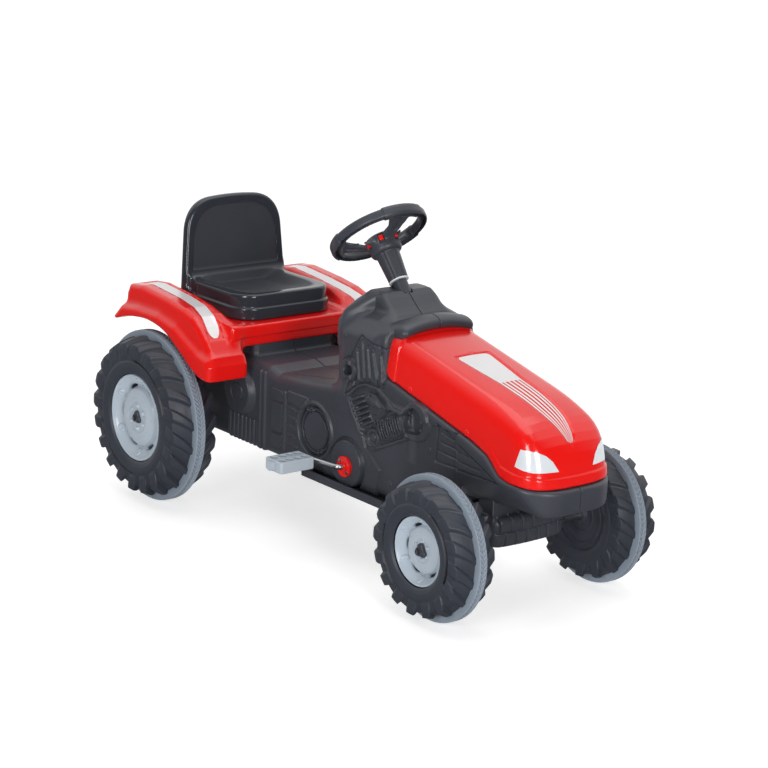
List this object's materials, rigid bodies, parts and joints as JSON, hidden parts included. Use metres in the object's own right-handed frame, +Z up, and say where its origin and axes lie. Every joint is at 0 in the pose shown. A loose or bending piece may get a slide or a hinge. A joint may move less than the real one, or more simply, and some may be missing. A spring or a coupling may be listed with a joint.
{
  "type": "pedal tractor",
  "caption": "Ride-on pedal tractor for a small child: moulded body with hood, fenders and seat, chain-driven rear axle, steered front wheels and a steering wheel.",
  "frame": {"origin": "on the floor, under the middle of the overall box", "axes": "+X forward along the wheelbase, +Y to the rider's left, +Z up"},
  "size_m": [1.134, 0.534, 0.6363],
  "materials": {
    "black_plastic": "satin moulded polyethylene with a fine grain",
    "red_plastic": "glossy moulded red plastic",
    "seat_black": "glossy moulded black plastic with a matt grained panel",
    "tyre_black": "satin blow-moulded black plastic",
    "grip_grey": "soft blue-grey grip band",
    "rim_silver": "silver-grey moulded plastic",
    "pedal_grey": "light grey moulded plastic",
    "zinc_steel": "zinc-plated steel",
    "chain_steel": "oiled steel",
    "bush_white": "white nylon"
  },
  "bodies": {
    "frame": {"body_shell_right": "black_plastic", "body_shell_left": "black_plastic", "body_screws": "zinc_steel", "seat_screws": "zinc_steel", "hood_screws": "zinc_steel", "crank_disc_rivets": "zinc_steel", "hood": "red_plastic", "fender_deck": "red_plastic", "seat": "seat_black", "rear_bush_left": "bush_white", "rear_bush_right": "bush_white", "chain": "chain_steel", "crank_disc_left": "red_plastic", "crank_disc_right": "red_plastic", "front_axle_beam": "black_plastic", "column_bush": "bush_white", "underbody_plate": "black_plastic", "tow_hitch": "black_plastic"},
    "rear_axle": {"rear_axle": "zinc_steel", "rear_spacers": "bush_white", "rear_sprocket": "chain_steel", "rear_left_cap": "black_plastic", "rear_right_tyre": "tyre_black", "rear_right_band": "grip_grey", "rear_right_rim": "rim_silver", "rear_right_cap": "black_plastic"},
    "rear_left_wheel": {"rear_left_tyre": "tyre_black", "rear_left_band": "grip_grey", "rear_left_rim": "rim_silver"},
    "knuckle_left": {"knuckle_left": "zinc_steel", "front_left_cap": "black_plastic"},
    "front_left_wheel": {"front_left_tyre": "tyre_black", "front_left_band": "grip_grey", "front_left_rim": "rim_silver"},
    "knuckle_right": {"knuckle_right": "zinc_steel", "front_right_cap": "black_plastic"},
    "front_right_wheel": {"front_right_tyre": "tyre_black", "front_right_band": "grip_grey", "front_right_rim": "rim_silver"},
    "tie_rod": {"tie_rod": "zinc_steel"},
    "steering": {"steering_column": "zinc_steel", "steering_wheel": "black_plastic"},
    "horn": {"horn_button": "red_plastic"},
    "crank": {"crank": "zinc_steel", "chainring": "chain_steel", "pedal_caps": "pedal_grey"},
    "pedal_left": {"pedal_left": "pedal_grey"},
    "pedal_right": {"pedal_right": "pedal_grey"}
  },
  "joints": [
    {"name": "rear_axle_spin", "type": "hinge", "parent": "frame", "child": "rear_axle", "pos_m": [-0.401, 0, 0.166], "axis": [0, 1, 0], "continuous": true},
    {"name": "rear_left_spin", "type": "hinge", "parent": "rear_axle", "child": "rear_left_wheel", "pos_m": [-0.401, 0.217, 0.166], "axis": [0, 1, 0], "continuous": true},
    {"name": "crank_spin", "type": "hinge", "parent": "frame", "child": "crank", "pos_m": [0.077, 0, 0.171], "axis": [0, 1, 0], "continuous": true},
    {"name": "pedal_right_spin", "type": "hinge", "parent": "crank", "child": "pedal_right", "pos_m": [0.007, -0.189, 0.171], "axis": [0, 1, 0], "continuous": true},
    {"name": "pedal_left_spin", "type": "hinge", "parent": "crank", "child": "pedal_left", "pos_m": [0.147, 0.189, 0.171], "axis": [0, 1, 0], "continuous": true},
    {"name": "steering_turn", "type": "hinge", "parent": "frame", "child": "steering", "pos_m": [0.001, 0, 0.574], "axis": [-0.632, 0, 0.7749], "range_deg": [-36, 36]},
    {"name": "steer_left", "type": "hinge", "parent": "frame", "child": "knuckle_left", "pos_m": [0.408, 0.1, 0.126], "axis": [0, 0, 1], "range_deg": [-20.01, 20.01]},
    {"name": "steer_right", "type": "hinge", "parent": "frame", "child": "knuckle_right", "pos_m": [0.408, -0.1, 0.126], "axis": [0, 0, 1], "range_deg": [-20.01, 20.01]},
    {"name": "tie_rod_slide", "type": "slide", "parent": "frame", "child": "tie_rod", "axis": [0, -1, 0], "range_m": [-0.01745, 0.01745]},
    {"name": "front_left_spin", "type": "hinge", "parent": "knuckle_left", "child": "front_left_wheel", "pos_m": [0.408, 0.181, 0.126], "axis": [0, 1, 0], "continuous": true},
    {"name": "front_right_spin", "type": "hinge", "parent": "knuckle_right", "child": "front_right_wheel", "pos_m": [0.408, -0.181, 0.126], "axis": [0, 1, 0], "continuous": true},
    {"name": "horn_press", "type": "slide", "parent": "steering", "child": "horn", "axis": [0.632, 0, -0.7749], "range_m": [0, 0.003], "stiffness_N_per_m": 300, "springref_m": -0.002}
  ],
  "couplings": [
    {"joint": "crank_spin", "follows": "rear_axle_spin", "ratio": 0.85714},
    {"joint": "steer_left", "follows": "steering_turn", "ratio": 0.55556},
    {"joint": "steer_right", "follows": "steering_turn", "ratio": 0.55556},
    {"joint": "tie_rod_slide", "follows": "steering_turn", "m_per_rad": 0.027778}
  ]
}
